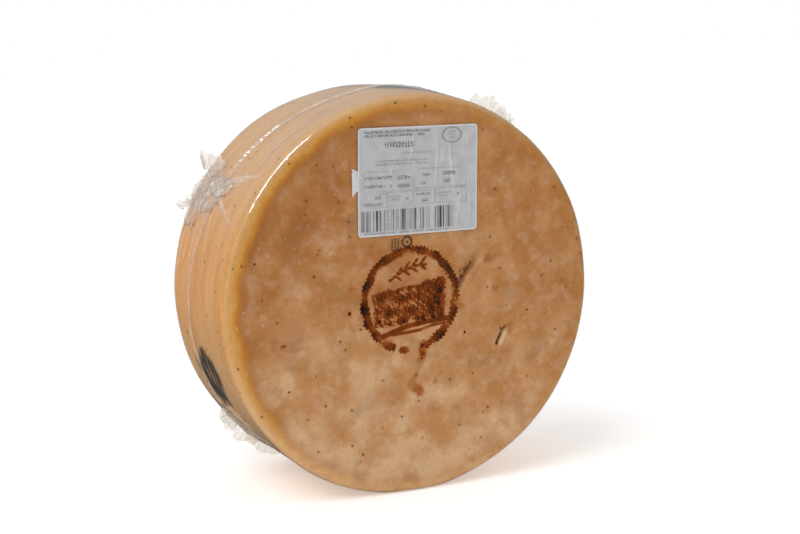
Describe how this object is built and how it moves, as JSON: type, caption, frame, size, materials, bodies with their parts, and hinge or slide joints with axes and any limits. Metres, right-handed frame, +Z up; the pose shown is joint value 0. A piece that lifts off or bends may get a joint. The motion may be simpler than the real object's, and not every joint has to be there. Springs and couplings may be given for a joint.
{
  "type": "cheese wheel",
  "caption": "Whole wheel of hard cheese standing on its rim, shrink-wrapped in a clear vacuum pouch with gathered corners, with a paper label on its face.",
  "frame": {"origin": "on the floor, under the middle of the standing wheel", "axes": "+Z up; Y is the wheel's own axis, and its labelled face looks towards -Y; X runs across the labelled face, to the right as one looks at it"},
  "size_m": [0.3408, 0.1386, 0.3379],
  "materials": {
    "rind": "satin",
    "pouch_film": "gloss",
    "label_paper": "matte",
    "scrap_paper": "matte"
  },
  "bodies": {
    "root": {"cheese_wheel": "rind", "pouch_front_sheet": "pouch_film", "pouch_back_sheet": "pouch_film", "pouch_weld": "pouch_film", "pouch_corner_top_left": "pouch_film", "pouch_corner_top_right": "pouch_film", "pouch_corner_bottom_left": "pouch_film", "pouch_corner_bottom_right": "pouch_film", "paper_label": "label_paper", "paper_scrap": "scrap_paper"}
  },
  "joints": []
}
